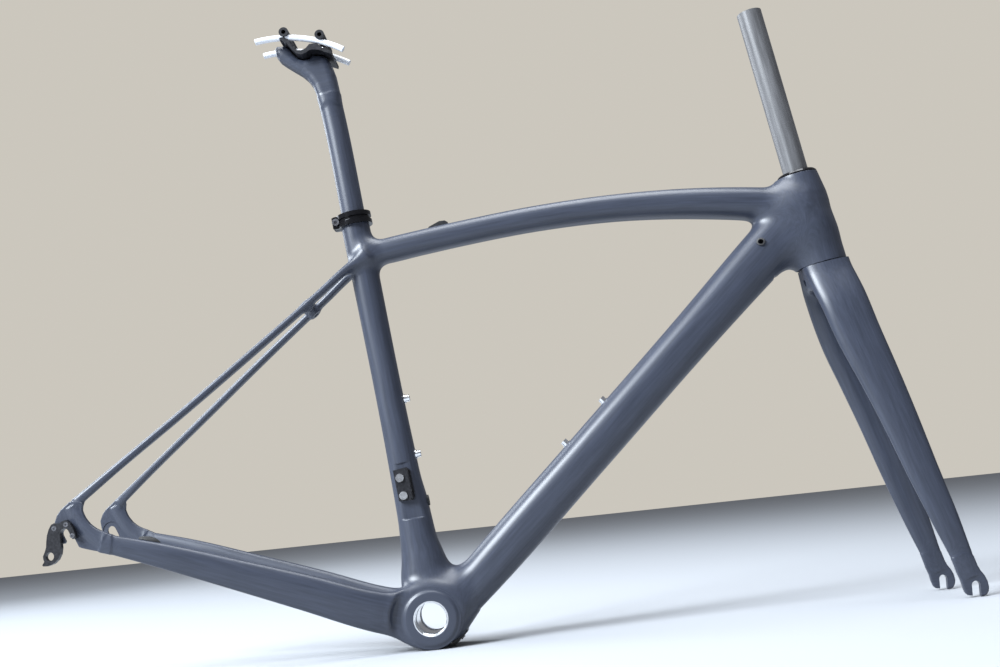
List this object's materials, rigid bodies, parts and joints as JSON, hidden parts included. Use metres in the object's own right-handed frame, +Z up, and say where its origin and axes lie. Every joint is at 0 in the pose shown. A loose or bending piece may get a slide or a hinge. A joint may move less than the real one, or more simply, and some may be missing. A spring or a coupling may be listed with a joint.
{
  "type": "bicycle frame",
  "caption": "Satin dark road bicycle frame with fork, headset, seatpost and clamp, cable fittings, derailleur hanger and bottle bolts, resting nose-down.",
  "frame": {"origin": "centre of the bottom bracket, on its axis in the middle plane", "axes": "+X forward to the fork, +Y to the left (non-drive) side along the bottom bracket axis, +Z up with the frameset resting on its bottom bracket shell and fork tips"},
  "size_m": [0.9925, 0.1477, 0.723],
  "materials": {
    "carbon": "satin",
    "bare_carbon": "sanded",
    "black_alloy": "black anodised",
    "bright_alloy": "machined",
    "dark_steel": "satin",
    "black_rubber": "matte",
    "black_plastic": "matte",
    "white_plastic": "satin"
  },
  "bodies": {
    "frame": {"head_tube": "carbon", "top_tube": "carbon", "down_tube": "carbon", "seat_tube": "carbon", "bottom_bracket_shell": "carbon", "bottom_bracket_sleeve": "bright_alloy", "chainstay_right": "carbon", "chainstay_left": "carbon", "seatstay_right": "carbon", "seatstay_left": "carbon", "dropout_right": "carbon", "dropout_left": "carbon", "derailleur_hanger": "black_alloy", "hanger_screws": "dark_steel", "brake_bridge": "carbon", "front_derailleur_mount": "black_alloy", "mount_rivets": "bright_alloy", "seat_tube_cable_grommet": "black_rubber", "bottle_rivnuts": "bright_alloy", "bottle_bolts": "bright_alloy", "down_tube_cable_port": "black_plastic", "top_tube_cable_stop": "black_plastic", "chainstay_cable_plug": "black_rubber", "bottom_cable_guide": "black_plastic", "cable_guide_screw": "dark_steel", "headset_lower_bearing": "dark_steel", "headset_upper_bearing": "dark_steel", "seat_clamp_ring": "black_alloy", "seat_clamp_bolt": "dark_steel"},
    "fork": {"steerer_tube": "bare_carbon", "fork_crown": "carbon", "fork_blade_right": "carbon", "fork_blade_left": "carbon", "fork_tip_right": "carbon", "fork_tip_left": "carbon", "crown_race": "dark_steel", "compression_ring": "dark_steel", "headset_cover": "black_alloy"},
    "seatpost": {"seatpost": "carbon", "saddle_cradle": "black_alloy", "upper_clamp_rear": "black_alloy", "upper_clamp_front": "black_alloy", "saddle_clamp_bolts": "dark_steel", "rail_sleeve_right": "white_plastic", "rail_sleeve_left": "white_plastic"}
  },
  "joints": [
    {"name": "steering", "type": "hinge", "parent": "frame", "child": "fork", "pos_m": [0.4795, 0, 0.344], "axis": [-0.1392, 0, 0.9903], "continuous": true},
    {"name": "seatpost_height", "type": "slide", "parent": "frame", "child": "seatpost", "axis": [-0.1063, 0, 0.9943], "range_m": [-0.085, 0.065]}
  ]
}
